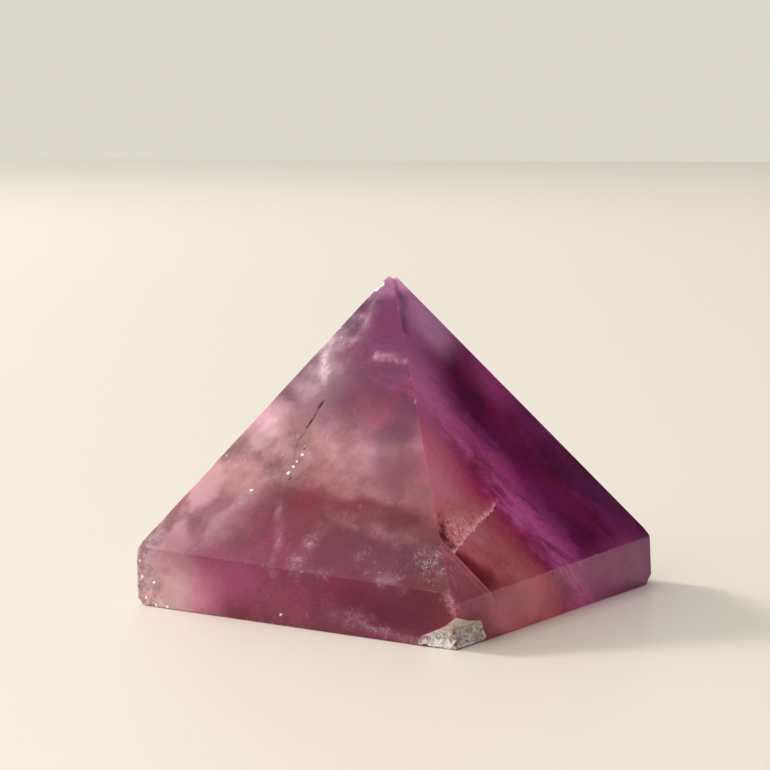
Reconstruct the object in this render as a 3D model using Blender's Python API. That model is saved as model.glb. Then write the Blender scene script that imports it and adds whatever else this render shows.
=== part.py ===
"""A hand-cut fluorite pyramid on a low plinth: one stone, ground flat on nine faces, then worn and chipped.

Metres, +Z up. The origin is the middle of the base, and the base's sides run along X and Y.
Sizes below are in millimetres and are multiplied by MM where they enter Blender.
"""

import math
import random

import bmesh
import bpy
from mathutils import Matrix, Vector

MM = 0.001

# The cut stone. Each pair of plinth heights is where one sloping face starts, at its two corners,
# going anticlockwise round the stone: the faces were ground one by one, so they don't quite meet.
BASE_SIDE = 50.0
PLINTH_DRAFT = 3.3  # degrees that the plinth's sides lean in
APEX = Vector((-0.7, -0.5, 42.8))  # a little off centre
PLINTH_HEIGHTS = {
    "front": (7.6, 6.6),
    "right": (5.4, 6.45),
    "back": (6.5, 7.0),
    "left": (7.1, 7.5),
}
QUARTER_TURNS = {"front": 0, "right": 1, "back": 2, "left": 3}

EDGE_WEAR = 0.16  # width of the rounding along every ground edge
EDGE_STEPS = 2
MERGE = 0.02  # two corners closer than this are one

# Flat breaks along the stone's cleavage: (a point on the break, the way the break faces).
CLEAVED = {
    "apex": ((-0.55, -0.65, 42.15), (0.40, -0.20, 0.90)),
    "apex_back": ((-1.0, -0.3, 42.10), (-0.40, 0.22, 0.89)),
    "right_corner_foot": ((24.45, 24.2, 0.75), (0.62, 0.48, -0.62)),
    "right_corner": ((24.50, 24.50, 3.5), (0.70, 0.71, 0.03)),
    "right_corner_top": ((24.30, 24.30, 6.7), (0.55, 0.58, 0.60)),
    "left_corner": ((-24.62, -24.60, 3.5), (-0.78, -0.62, -0.02)),
    "left_corner_top": ((-24.2, -24.15, 8.1), (-0.66, -0.52, 0.54)),
    "left_corner_base": ((-24.4, -24.5, 0.5), (-0.62, -0.55, -0.56)),
    "back_corner": ((-24.55, 24.5, 3.0), (-0.66, 0.75, -0.05)),
    "back_corner_top": ((-24.2, 24.2, 7.1), (-0.48, 0.55, 0.68)),
}

# Shell-shaped chips: (middle, half width along its edge, depth, the way the chip's long side runs).
CHIPS = {
    "right_corner_nick": ((24.35, 23.75, 8.05), 0.75, 0.42, (0.2, 0.5, -0.8)),
    "left_corner_nick": ((-24.55, -24.2, 8.35), 0.55, 0.32, (0.5, 0.4, -0.8)),
    "left_corner_high": ((-24.45, -24.8, 5.6), 0.75, 0.20, (0.3, -0.1, -0.9)),
    "left_corner_mid": ((-24.3, -24.9, 3.75), 0.95, 0.30, (0.6, -0.2, -0.75)),
    "left_corner_low": ((-23.75, -25.0, 2.2), 0.80, 0.24, (0.8, -0.1, -0.6)),
    "left_corner_foot": ((-23.6, -25.0, 0.35), 1.05, 0.36, (0.95, -0.1, 0.3)),
    "left_corner_toe": ((-21.9, -25.0, 0.05), 0.70, 0.24, (1.0, 0.0, 0.0)),
    "left_ridge_low": ((-19.25, -19.15, 15.75), 1.0, 0.22, (0.55, 0.55, 0.8)),
    "left_ridge_mid": ((-12.4, -12.3, 25.9), 0.55, 0.20, (0.55, 0.55, 0.8)),
    "left_ridge_high": ((-8.4, -8.3, 31.9), 0.8, 0.24, (0.55, 0.55, 0.8)),
    "apex_left": ((-1.75, -1.6, 41.4), 0.45, 0.28, (0.55, 0.55, 0.8)),
    "right_ridge_high": ((4.4, 5.1, 35.2), 0.6, 0.16, (0.55, 0.55, -0.8)),
    "right_ridge_low": ((18.2, 18.6, 15.7), 0.7, 0.18, (0.55, 0.55, -0.8)),
    "back_ridge_low": ((-17.6, 17.3, 17.3), 0.9, 0.28, (-0.5, 0.5, -0.75)),
    "back_ridge_high": ((-7.9, 7.1, 31.7), 0.6, 0.20, (-0.5, 0.5, -0.75)),
    "back_fold": ((6.2, 24.6, 6.75), 0.7, 0.18, (1.0, 0.0, 0.0)),
    "back_foot": ((-8.3, 25.0, 0.05), 1.2, 0.32, (1.0, 0.0, 0.0)),
    "left_fold": ((-24.6, 8.6, 7.3), 0.6, 0.16, (0.0, 1.0, 0.0)),
    "left_foot": ((-25.0, 17.8, 0.05), 0.9, 0.26, (0.0, 1.0, 0.0)),
}
CHIP_BREADTH = 1.5  # half of a chip's short side, as a share of its depth
CHIP_ROUGHNESS = 0.16  # how far a chip's own surface wanders, as a share of its size

# An open crack down the front face, and the pits below it: (middle, half its length, half its width).
CRACK = (
    ((-4.05, -11.83, 26.05), 0.62, 0.20),
    ((-4.75, -13.33, 23.85), 0.85, 0.10),
    ((-5.35, -14.50, 22.15), 0.75, 0.07),
    ((-4.15, -15.32, 20.90), 0.32, 0.13),
    ((-4.35, -16.38, 19.35), 0.30, 0.10),
    ((-4.70, -17.80, 17.25), 0.34, 0.12),
)
CRACK_RUN = Vector((-0.30, -0.52, -0.80))
CRACK_DEPTH = 0.45

# The broken front corner, in stations from its left end to its right. At each, a smooth cleavage flat
# runs in and down from the plinth's skin to a hollow line, and a rough break comes out again to a toe.
BROKEN_CORNER = (
    # on the skin            hollow line              toe
    ((19.2, -25.0, 0.42), (19.4, -24.95, 0.36), (19.4, -25.0, 0.12)),
    ((20.0, -25.0, 1.30), (20.3, -24.60, 1.05), (20.3, -25.0, 0.10)),
    ((21.3, -24.9, 1.75), (21.4, -24.30, 1.38), (21.6, -24.9, 0.12)),
    ((23.4, -24.9, 2.85), (22.7, -24.00, 1.60), (23.2, -24.9, 0.25)),
    ((24.8, -24.8, 4.00), (23.7, -23.60, 2.10), (24.4, -24.9, 0.40)),
    ((24.8, -23.8, 3.65), (23.8, -22.60, 1.85), (24.9, -24.8, 0.22)),
    ((24.9, -22.0, 3.20), (23.9, -21.80, 1.70), (24.9, -23.1, 0.12)),
    ((24.9, -20.5, 2.90), (24.1, -20.80, 1.95), (24.9, -21.5, 0.10)),
    ((24.9, -19.3, 2.78), (24.5, -19.60, 2.30), (24.9, -20.0, 0.10)),
    ((24.9, -18.8, 1.60), (24.8, -18.85, 1.45), (24.9, -18.9, 0.12)),
    ((25.0, -17.9, 0.42), (24.95, -18.1, 0.32), (25.0, -18.2, 0.12)),
)
BREAK_COLUMNS = 4  # between one station and the next
BREAK_ROWS = 3  # from the hollow line to the toe
BREAK_ROUGHNESS = 0.38  # how far a row strays, as a share of the way to the next
TOE_UNDERCUT = 0.35
PAST_SKIN = 1.5  # how far a cutter stands out of the stone
SKIN_GAP = 0.03  # how far its rim stands off the skin
SEED = 7


def clear_scene():
    for obj in list(bpy.data.objects):
        bpy.data.objects.remove(obj, do_unlink=True)


def new_object(name, bm):
    mesh = bpy.data.meshes.new(name)
    bm.to_mesh(mesh)
    bm.free()
    obj = bpy.data.objects.new(name, mesh)
    bpy.context.scene.collection.objects.link(obj)
    return obj


def grind(bm, point, facing):
    """Takes off all that lies beyond the flat through point, and closes the cut."""
    cut = bmesh.ops.bisect_plane(
        bm,
        geom=bm.verts[:] + bm.edges[:] + bm.faces[:],
        plane_co=Vector(point) * MM,
        plane_no=Vector(facing).normalized(),
        clear_outer=True,
    )
    rim = [g for g in cut["geom_cut"] if isinstance(g, bmesh.types.BMEdge)]
    bmesh.ops.contextual_create(bm, geom=rim)


def side_flats():
    """(point, facing) for the four plinth sides and the four slopes above them."""
    half = BASE_SIDE / 2
    lean = math.radians(PLINTH_DRAFT)
    for side, heights in PLINTH_HEIGHTS.items():
        turn = Matrix.Rotation(math.radians(90 * QUARTER_TURNS[side]), 3, "Z")
        yield turn @ Vector((0, -half, 0)), turn @ Vector((0, -math.cos(lean), math.sin(lean)))
        start, end = (
            turn @ Vector((x, -half + z * math.tan(lean), z))
            for x, z in zip((-half, half), heights)
        )
        yield start, (end - start).cross(APEX - start)


def ground_stone():
    """The stone as it left the grinding wheel, with flat cleavage breaks and worn edges."""
    bm = bmesh.new()
    bmesh.ops.create_cube(bm, size=2 * BASE_SIDE * MM)
    grind(bm, (0, 0, 0), (0, 0, -1))
    for point, facing in side_flats():
        grind(bm, point, facing)
    for point, facing in CLEAVED.values():
        grind(bm, point, facing)
    bmesh.ops.dissolve_degenerate(bm, dist=MERGE * MM, edges=bm.edges[:])
    bmesh.ops.recalc_face_normals(bm, faces=bm.faces[:])
    bmesh.ops.bevel(
        bm,
        geom=bm.edges[:],
        offset=EDGE_WEAR * MM,
        offset_type="OFFSET",
        segments=EDGE_STEPS,
        profile=0.5,
        affect="EDGES",
        clamp_overlap=True,
    )
    return new_object("fluorite_pyramid", bm)


def shell(bm, middle, half_sizes, along, draw):
    """A lumpy ellipsoid, whose long side runs along a direction: what breaks out of an edge."""
    turn = Vector(along).to_track_quat("X", "Z").to_matrix().to_4x4()
    place = Matrix.Translation(Vector(middle) * MM) @ turn
    made = bmesh.ops.create_icosphere(bm, subdivisions=2, radius=1.0)
    for vertex in made["verts"]:
        swell = 1 + CHIP_ROUGHNESS * draw.uniform(-1, 1)
        size = Vector(half_sizes) * swell * MM
        vertex.co = place @ Vector(a * b for a, b in zip(vertex.co, size))


def chip_cutters():
    """Every chip and every stretch of the crack, as one cutter. None of them touch."""
    bm = bmesh.new()
    draw = random.Random(SEED)
    for middle, half_width, depth, along in CHIPS.values():
        half_breadth = CHIP_BREADTH * depth
        shell(bm, middle, (half_width, half_breadth, half_breadth), along, draw)
    for middle, half_length, half_width in CRACK:
        shell(bm, middle, (half_length, half_width, CRACK_DEPTH), CRACK_RUN, draw)
    return new_object("chip_cutters", bm)


def outwards(point, distance):
    """The point moved away from the stone's upright axis."""
    point = Vector(point)
    return point + Vector((point.x, point.y, 0)).normalized() * distance


def break_section(lines, draw):
    """One closed section of what is missing from the corner: down over the break, and back outside it."""
    top, hollow, toe = lines
    row_step = (toe - hollow) / BREAK_ROWS
    stray = BREAK_ROUGHNESS * row_step.length
    rough = []
    for row in range(1, BREAK_ROWS):
        point = outwards(hollow + row * row_step, stray * draw.uniform(-1, 1))
        rough.append(point + Vector((0, 0, stray * draw.uniform(-1, 1))))
    foot = Vector((toe.x, toe.y, 0))
    below = Vector((toe.x, toe.y, -PAST_SKIN))
    return [
        outwards(top, SKIN_GAP),
        hollow,
        *rough,
        outwards(toe, SKIN_GAP),
        outwards(foot, -TOE_UNDERCUT),
        outwards(below, -TOE_UNDERCUT),
        outwards(below, PAST_SKIN),
        outwards(top, PAST_SKIN),
    ]


def corner_cutter():
    """What is missing from the broken front corner, as a loft through its stations."""
    draw = random.Random(SEED)
    sections = []
    for here, there in zip(BROKEN_CORNER, BROKEN_CORNER[1:]):
        for column in range(BREAK_COLUMNS):
            share = column / BREAK_COLUMNS
            lines = [Vector(a).lerp(Vector(b), share) for a, b in zip(here, there)]
            sections.append(break_section(lines, draw))
    sections.append(break_section([Vector(p) for p in BROKEN_CORNER[-1]], draw))
    bm = bmesh.new()
    loops = [[bm.verts.new(p * MM) for p in section] for section in sections]
    for near, far in zip(loops, loops[1:]):
        for i in range(len(near)):
            bm.faces.new((near[i - 1], near[i], far[i], far[i - 1]))
    bm.faces.new(loops[0])
    bm.faces.new(loops[-1])
    bmesh.ops.recalc_face_normals(bm, faces=bm.faces[:])
    bmesh.ops.triangulate(bm, faces=bm.faces[:])
    return new_object("corner_cutter", bm)


def cut(stone, cutter):
    cutter.hide_render = True
    cutter.display_type = "WIRE"
    modifier = stone.modifiers.new("cut " + cutter.name, "BOOLEAN")
    modifier.operation = "DIFFERENCE"
    modifier.solver = "EXACT"
    modifier.object = cutter


def fluorite():
    material = bpy.data.materials.new("fluorite")
    material.use_nodes = True
    shader = material.node_tree.nodes["Principled BSDF"]
    shader.inputs["Base Color"].default_value = (0.36, 0.10, 0.22, 1)
    shader.inputs["Roughness"].default_value = 0.12
    shader.inputs["Metallic"].default_value = 0.0
    shader.inputs["IOR"].default_value = 1.434
    return material


def main():
    clear_scene()
    stone = ground_stone()
    cut(stone, corner_cutter())
    cut(stone, chip_cutters())
    stone.data.materials.append(fluorite())


main()
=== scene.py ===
"""Looks of the fluorite pyramid: banded purple stone, milky veils, fractures inside, and worn edges.

Sizes and places are in millimetres in the stone's own frame, and are multiplied by MM for Blender.
The stone's growth bands are planes: a point's band is BAND_RISE . (x, y, z), in millimetres.
"""

import math
import random

import bmesh
import bpy
import numpy as np
from mathutils import Matrix, Vector, noise


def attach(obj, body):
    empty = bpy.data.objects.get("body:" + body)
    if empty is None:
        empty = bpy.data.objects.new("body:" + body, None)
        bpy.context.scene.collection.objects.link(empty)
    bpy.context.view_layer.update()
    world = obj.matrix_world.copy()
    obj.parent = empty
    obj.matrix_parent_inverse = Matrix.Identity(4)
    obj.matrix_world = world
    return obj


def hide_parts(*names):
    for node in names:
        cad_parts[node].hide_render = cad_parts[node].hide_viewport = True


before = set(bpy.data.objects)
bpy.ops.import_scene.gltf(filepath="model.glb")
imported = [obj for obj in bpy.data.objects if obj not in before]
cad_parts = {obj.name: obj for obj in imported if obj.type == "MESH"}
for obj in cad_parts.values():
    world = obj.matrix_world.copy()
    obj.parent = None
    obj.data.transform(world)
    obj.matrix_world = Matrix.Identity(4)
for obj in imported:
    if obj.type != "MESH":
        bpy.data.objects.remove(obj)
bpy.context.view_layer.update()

MM = 0.001
NODE = "fluorite_pyramid"
BODY = "root"
SEED = 11
FLOOR_GAP = 0.06  # the stone stands on its high spots
NOISE_SEED = 7  # without a seed the noise starts from the clock and differs each run

noise.seed_set(NOISE_SEED)

# The way up through the growth bands, the way their fine threads are stacked, and a way along them.
BAND_RISE = (0.33, 0.76, 0.56)
THREAD_RISE = (0.25, 0.66, 0.71)
BAND_ALONG = (0.0, -0.59, 0.81)
BAND_ACROSS = (1.0, 0.0, 0.0)

# Band colours, from the lowest band to the highest: (band, colour).
MILKY_BANDS = (
    (-24, "#8E2F50"),
    (-18, "#964A64"),
    (-12, "#903458"),
    (-7, "#7A2C3C"),
    (-4, "#9D585E"),
    (0, "#B27A80"),
    (4, "#925670"),
    (7, "#7E2E60"),
    (10, "#6C2254"),
    (15, "#6A2052"),
    (19, "#964084"),
)
# The deep bands show through the right face. Their salmon and pink bands are partly the stone's colour
# and partly painted glow, made brighter to stand in for light that comes through the stone.
DEEP_BANDS = (
    (-24, "#7A2034"),
    (-14, "#8A2838"),
    (-4, "#942C3C"),
    (0, "#E46C78"),
    (5, "#FF98A4"),
    (7.5, "#F0708A"),
    (9.5, "#C43C7C"),
    (13, "#EC74C0"),
    (16, "#AC4490"),
    (18, "#74075C"),
    (22, "#76074E"),
    (25, "#782068"),
)
BAND_SPAN = (-26.0, 26.0)

# Clouded or stained patches: (centre, half sizes, colour, strength). The two on the right plinth are
# partly its own paler colour and partly painted reflection of light. The front's don't show on the
# right face, and the right's don't show on the front.
FRONT_PATCHES = (
    ((2.0, -4.8, 36.4), (4.2, 4.0, 3.8), "#8C2068", 0.95),
    ((-4.0, -5.0, 36.1), (2.5, 2.4, 1.7), "#5A2450", 0.95),
    ((-2.8, -3.4, 38.6), (1.5, 1.8, 1.5), "#5C2450", 0.9),
    ((-9.4, -11.6, 26.5), (3.0, 2.4, 1.5), "#5E2052", 0.75),
    ((3.4, -10.4, 28.3), (4.4, 2.6, 2.2), "#6C3A66", 0.5),
    ((9.4, -11.4, 26.2), (3.6, 2.6, 3.0), "#6E3866", 0.6),
    ((8.5, -13.0, 23.0), (6.0, 3.2, 3.4), "#6C2A54", 0.75),
    ((0.6, -9.1, 30.2), (3.0, 2.4, 1.6), "#6E4272", 0.4),
    ((-0.7, -11.2, 26.9), (3.2, 2.4, 1.6), "#762E60", 0.6),
    ((-1.0, -19.2, 14.9), (3.4, 3.0, 2.6), "#881438", 0.9),
    ((6.0, -19.4, 14.8), (8.0, 3.0, 2.1), "#7C1038", 0.95),
    ((14.0, -19.8, 14.2), (6.0, 3.0, 2.0), "#70102C", 0.95),
    ((11.5, -22.8, 9.4), (13.0, 5.0, 5.0), "#723254", 0.6),
    ((19.5, -22.0, 10.5), (6.0, 5.0, 6.0), "#5A1A34", 0.75),
    ((13.0, -25.0, 3.4), (13.0, 3.0, 4.2), "#6E0638", 0.8),
    ((-10.0, -24.0, 5.0), (9.0, 4.0, 6.0), "#C45890", 0.5),
    ((11.5, -16.5, 19.0), (7.5, 5.0, 5.5), "#742E4C", 0.75),
    ((16.5, -18.5, 16.8), (4.0, 4.0, 3.2), "#885060", 0.7),
    ((6.5, -8.6, 31.5), (4.0, 3.0, 4.0), "#6A2C58", 0.55),
    ((-13.0, -18.0, 17.0), (6.0, 4.0, 4.5), "#E8ACB0", 0.65),
    ((-12.0, -13.0, 24.5), (5.0, 4.0, 4.0), "#F8C8DC", 0.85),
    ((-15.0, -25.0, 2.0), (7.0, 3.0, 6.0), "#F0A0BC", 0.85),
    ((-19.5, -25.0, 4.0), (6.5, 3.0, 6.5), "#D8A0B0", 0.85),
    ((-20.0, -25.5, 1.5), (8.0, 3.0, 6.0), "#F8CCD4", 0.95),
    ((-26.0, -26.0, 8.0), (7.5, 6.0, 9.5), "#BEA4AE", 0.75),
    ((-24.6, -24.8, 2.2), (1.7, 2.0, 2.8), "#845870", 0.7),
    ((-21.7, -25.0, 2.9), (1.3, 1.5, 1.3), "#9A7880", 0.7),
    ((-19.8, -25.0, 5.2), (1.6, 1.5, 0.9), "#A48890", 0.5),
)
RIGHT_PATCHES = (
    ((4.5, 2.2, 37.0), (6.8, 8.0, 8.0), "#FFB8F0", 1.0),
    ((9.5, 8.5, 30.5), (8.0, 8.0, 8.0), "#D860B8", 0.7),
    # Partly the plinth's paler colour, partly painted reflection of light.
    ((24.5, 15.0, 3.0), (3.0, 17.0, 5.5), "#DC60B4", 0.7),
    ((24.5, -12.0, 3.0), (3.0, 10.0, 5.0), "#FF9CAC", 0.75),
)

# White veils in the stone: (start, end, half width, strength of the haze, strength of its dust), from
# the apex down the left side, and then from left to right along the lower front.
VEILS = (
    ((-6.2, -7.0, 33.4), (-5.4, -9.6, 29.4), 1.9, 0.85, 0.3),
    ((-6.3, -5.7, 35.2), (-3.0, -6.4, 34.4), 0.5, 0.35, 1.0),
    ((-6.6, -5.8, 35.1), (-9.3, -8.6, 31.3), 0.5, 0.5, 0.9),
    ((-8.6, -9.0, 30.8), (-7.8, -9.8, 29.4), 1.1, 0.3, 0.6),
    ((-1.2, -2.5, 39.8), (-1.9, -5.0, 36.2), 0.4, 0.5, 0.2),
    ((-1.9, -5.0, 36.2), (-3.2, -6.6, 33.8), 0.5, 0.5, 0.4),
    ((-4.4, -4.6, 37.0), (-2.4, -4.8, 36.8), 0.2, 0.5, 0.4),
    ((-10.0, -14.4, 22.4), (-14.6, -16.6, 19.0), 1.3, 0.3, 0.7),
    ((-7.0, -15.4, 21.4), (-9.6, -16.6, 19.4), 0.8, 0.3, 0.5),
    ((-8.6, -18.2, 16.7), (-10.8, -19.7, 14.5), 0.40, 0.6, 0.5),
    ((-5.9, -17.2, 18.2), (-8.6, -18.2, 16.7), 0.6, 0.3, 0.2),
    ((-10.8, -19.7, 14.5), (-16.2, -24.0, 8.2), 1.0, 0.35, 0.2),
    ((-4.4, -19.9, 14.1), (-3.0, -23.0, 9.5), 0.22, 0.3, 0.2),
    ((-3.0, -23.0, 9.5), (-2.4, -24.6, 6.6), 0.35, 0.25, 0.3),
    ((1.1, -23.4, 8.2), (2.1, -21.6, 11.4), 0.55, 0.35, 0.8),
    ((2.1, -21.6, 11.4), (4.3, -20.6, 12.9), 0.5, 0.22, 0.4),
    ((4.3, -20.6, 12.9), (12.7, -20.8, 12.5), 0.5, 0.14, 0.2),
    ((12.7, -20.8, 12.5), (18.8, -21.6, 11.2), 0.6, 0.16, 0.25),
    ((1.4, -24.4, 7.2), (5.4, -24.4, 6.9), 0.4, 0.15, 0.8),
    ((10.4, -22.8, 9.2), (13.2, -23.2, 8.6), 0.6, 0.15, 0.8),
    ((12.0, -23.6, 8.0), (16.6, -24.3, 6.9), 0.35, 0.3, 1.0),
    ((13.8, -22.4, 9.8), (15.0, -23.0, 8.8), 0.4, 0.1, 0.8),
    ((18.4, -21.8, 10.8), (21.4, -23.0, 9.2), 0.9, 0.15, 0.75),
    ((21.4, -23.0, 9.2), (23.4, -24.4, 6.8), 0.5, 0.15, 0.9),
    ((23.4, -24.6, 6.4), (24.2, -25.0, 4.4), 0.3, 0.1, 0.8),
    ((7.0, -25.0, 2.8), (11.4, -25.0, 1.4), 0.6, 0.25, 0.4),
    ((11.4, -25.0, 1.3), (19.6, -25.0, 0.2), 0.35, 0.25, 0.7),
    ((-24.8, -25.0, 0.8), (-23.2, -25.0, 5.0), 1.3, 0.3, 0.9),
    ((-22.4, -25.0, 0.2), (-20.4, -25.0, 0.2), 0.5, 0.6, 0.9),
    ((-0.8, 0.4, 41.8), (-2.4, -2.0, 39.4), 0.6, 0.6, 0.9),
)

# The two narrowest veils, drawn in the material: a bright upright core, and a level one by the ridge.
CORE = ((-6.4, -6.8, 34.0), (-5.4, -9.4, 29.7), (-4.6, -11.1, 27.2))
LEVEL_VEIL = ((1.7, -7.5, 32.4), (6.4, -7.6, 32.0))

# The frosted edge at the left, whose stone is white.
WHITE_EDGE = ((-25.0, -25.0, 2.0), (-25.0, -25.0, 9.0))

# A dark wedge under the right face, beside the ridge just below the apex.
RIDGE_SHADE = ((1.4, -1.5, 39.6), (3.9, -4.2, 35.6))

# The clean fracture behind the near corner, as (way away from the corner, distance at the origin).
FRACTURE = ((-0.173, 0.894, 0.414), 17.02)

# The olive-stained crack in the front face, from its top to its lowest pit.
CRACK = ((-4.0, -11.6, 26.5), (-5.6, -14.8, 21.7), (-4.7, -17.8, 17.3))

# Painted glints, white spots that stand in for bright sparks of reflected light: in the pits below the
# crack, at the frosted edge, and a few single ones.
PAINTED_GLINTS = (
    (-4.2, -15.2, 21.0),
    (-4.2, -15.9, 20.1),
    (-4.5, -16.4, 19.3),
    (-4.9, -16.9, 18.6),
    (-5.2, -17.4, 17.9),
    (-10.0, -19.2, 15.5),
    (-21.6, -24.8, 3.1),
    (-22.9, -24.9, 1.1),
    (-21.2, -25.0, 0.3),
    (-19.3, -25.0, 0.2),
    (-24.1, -24.7, 5.7),
    (-23.6, -24.8, 3.6),
    (-1.1, -25.0, 1.3),
    (24.6, -18.1, 7.0),
)
PAINTED_GLINT_SIZE = 0.25
# Painted glints at the apex: white spots that stand in for the light glinting on its worn tip.
PAINTED_APEX_GLINTS = ((-0.2, -0.4, 42.2), (0.3, -0.6, 42.0), (-1.5, -1.7, 41.2), (-2.1, -2.1, 40.6))
PAINTED_APEX_GLINT_SIZE = 0.5

# A flake inside, seen through the right face, painted as the light it reflects: its lower edge, and
# its fading upper one, each as (way into the flake, distance at the origin).
FLAKE_EDGE = ((0.0, -0.263, 0.965), -15.36)
FLAKE_TOP = ((0.0, -0.167, -0.986), 13.43)

# The corner chip: its middle, its reach, and the seam above its rough lower part.
CHIP = (24.0, -23.0, 1.5)
CHIP_REACH = 6.5
CHIP_SEAM = (
    (20.6, -24.6, 1.0),
    (22.4, -24.4, 1.8),
    (23.7, -23.6, 2.1),
    (24.3, -20.3, 2.2),
    (24.9, -19.2, 2.8),
)


# ---------------------------------------------------------------- shader graph


def linear(text):
    """'#RRGGBB' as linear RGBA, by the curve that sRGB is defined with."""
    channels = (int(text[i : i + 2], 16) / 255 for i in (1, 3, 5))
    curve = [c / 12.92 if c <= 0.04045 else ((c + 0.055) / 1.055) ** 2.4 for c in channels]
    return (*curve, 1.0)


SEED_STEPS = (17.3, -9.1, 5.7)  # these take each seed to its own part of the noise


class Graph:
    """Adds nodes to a material or a world, a line at a time.

    Each method gives back the socket with its result. Lengths are in millimetres.
    """

    def __init__(self, owner):
        owner.use_nodes = True
        self.tree = owner.node_tree

    def node(self, kind, *values, out=0, **settings):
        made = self.tree.nodes.new(kind)
        for name, value in settings.items():
            setattr(made, name, value)
        for socket, value in zip(made.inputs, values):
            self.feed(socket, value)
        return made.outputs[out]

    def feed(self, socket, value):
        if isinstance(value, bpy.types.NodeSocket):
            self.tree.links.new(value, socket)
        elif value is not None:
            socket.default_value = value

    def set_shader(self, **values):
        """Sets the shader's sockets, with _ for a space in a socket's name."""
        shader = self.tree.nodes["Principled BSDF"]
        for name, value in values.items():
            self.feed(shader.inputs[name.replace("_", " ")], value)

    def attribute(self, name, out):
        return self.node("ShaderNodeAttribute", out=out, attribute_name=name)

    def maths(self, operation, *values):
        return self.node("ShaderNodeMath", *values, operation=operation)

    def fold(self, operation, values):
        total = values[0]
        for value in values[1:]:
            total = self.maths(operation, total, value)
        return total

    def add(self, *values):
        return self.fold("ADD", values)

    def times(self, *values):
        return self.fold("MULTIPLY", values)

    def any_of(self, *masks):
        """The strongest of several masks."""
        return self.fold("MAXIMUM", masks)

    def centred(self, noise_level):
        """A noise from -0.5 to 0.5."""
        return self.maths("SUBTRACT", noise_level, 0.5)

    def blend(self, share, low, high):
        """The number low where share is 0, and high where it is 1."""
        return self.add(low, self.times(share, self.maths("SUBTRACT", high, low)))

    def smooth(self, value, start, end, low=0.0, high=1.0):
        """Eases from low to high as the value goes from start to end."""
        return self.node(
            "ShaderNodeMapRange", value, start, end, low, high, interpolation_type="SMOOTHSTEP"
        )

    def vector(self, operation, *values, out=0):
        return self.node("ShaderNodeVectorMath", *values, operation=operation, out=out)

    def dot(self, point, direction):
        return self.vector("DOT_PRODUCT", point, direction, out="Value")

    def scaled(self, vector, factor):
        made = self.tree.nodes.new("ShaderNodeVectorMath")
        made.operation = "SCALE"
        self.feed(made.inputs[0], vector)
        self.feed(made.inputs["Scale"], factor)
        return made.outputs[0]

    def point(self):
        """The place on the stone."""
        return self.scaled(self.node("ShaderNodeTexCoord", out="Object"), 1 / MM)

    def depth(self, point, face):
        """How far the point lies behind a flat face."""
        inwards, start = face
        return self.add(self.dot(point, inwards), start)

    def noise(self, point, size, detail, rough=0.5, seed=0.0, out=0):
        """Noise from 0 to 1, whose lumps are about size across."""
        made = self.tree.nodes.new("ShaderNodeTexNoise")
        values = {
            "Vector": self.vector("ADD", point, tuple(seed * step for step in SEED_STEPS)),
            "Scale": 1 / size,
            "Detail": detail,
            "Roughness": rough,
        }
        for name, value in values.items():
            self.feed(made.inputs[name], value)
        return made.outputs[out]

    def warped(self, point, size, reach, seed):
        """The point, moved by smooth noise by up to about reach."""
        stray = self.noise(point, size, detail=2.0, seed=seed, out="Color")
        centred = self.vector("SUBTRACT", stray, (0.5, 0.5, 0.5))
        return self.vector("ADD", point, self.scaled(centred, 2 * reach))

    def middles(self, noise_level, width):
        """Thin winding lines, where a noise passes through its middle."""
        return self.smooth(self.maths("ABSOLUTE", self.centred(noise_level)), width, 0.0)

    def far_from_line(self, point, start, end):
        """The distance to the line from start to end."""
        run = Vector(end) - Vector(start)
        away = self.vector("SUBTRACT", point, start)
        share = self.dot(away, tuple(run / run.length_squared))
        nearest = self.scaled(run, self.node("ShaderNodeClamp", share, 0.0, 1.0))
        return self.vector("DISTANCE", away, nearest, out="Value")

    def line_mask(self, point, places, width):
        """1 along a line through several places, easing to 0 at width from it."""
        runs = zip(places, places[1:])
        return self.any_of(*[self.smooth(self.far_from_line(point, *run), width, 0.0) for run in runs])

    def far_from_spots(self, point, spots):
        """The distance to the nearest of several spots."""
        distances = [self.vector("DISTANCE", point, spot, out="Value") for spot in spots]
        return self.fold("MINIMUM", distances)

    def ramp(self, value, stops, span):
        """The colour that a value has between stops, each given as (value, colour)."""
        made = self.tree.nodes.new("ShaderNodeValToRGB")
        made.color_ramp.interpolation = "LINEAR"
        share = self.node("ShaderNodeMapRange", value, span[0], span[1], 0.0, 1.0)
        self.tree.links.new(share, made.inputs[0])
        elements = made.color_ramp.elements
        while len(elements) < len(stops):
            elements.new(0.5)
        for element, (place, colour) in zip(elements, stops):
            element.position = (place - span[0]) / (span[1] - span[0])
            element.color = linear(colour)
        return made.outputs[0]

    def mix(self, share, low, high, blend="MIX"):
        """The colour low where share is 0, and high where it is 1."""
        made = self.tree.nodes.new("ShaderNodeMix")
        made.data_type = "RGBA"
        made.blend_type = blend
        for socket, value in zip((made.inputs[0], made.inputs[6], made.inputs[7]), (share, low, high)):
            self.feed(socket, linear(value) if isinstance(value, str) else value)
        return made.outputs[2]

    def lit(self, colour, *gains):
        """The colour made lighter or darker by each gain, with its hue kept."""
        for gain in gains:
            colour = self.mix(1.0, colour, gain, blend="MULTIPLY")
        return colour


# ---------------------------------------------------------------- the stone


GROUND_FACE_AREA = 100.0  # square millimetres: only the nine ground faces are larger
WORN_DEPTH = 0.07  # an edge that is rounded by wear stays this near the ground faces
GROUND_DEPTH = 0.01  # and a ground face's own corners this near
SKIN_DEPTH = 0.005  # a face nearer than this isn't part of a rounded edge
LEAST_TURN = math.radians(8)  # along the middle of a rounded edge
SAME_WAY = 0.9999  # cosine between a ground face and its plane
SAME_PLACE = 0.0001
BROKEN, WORN, GROUND = 1.0, 0.06, 0.0  # how whitish each kind of face is

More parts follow.
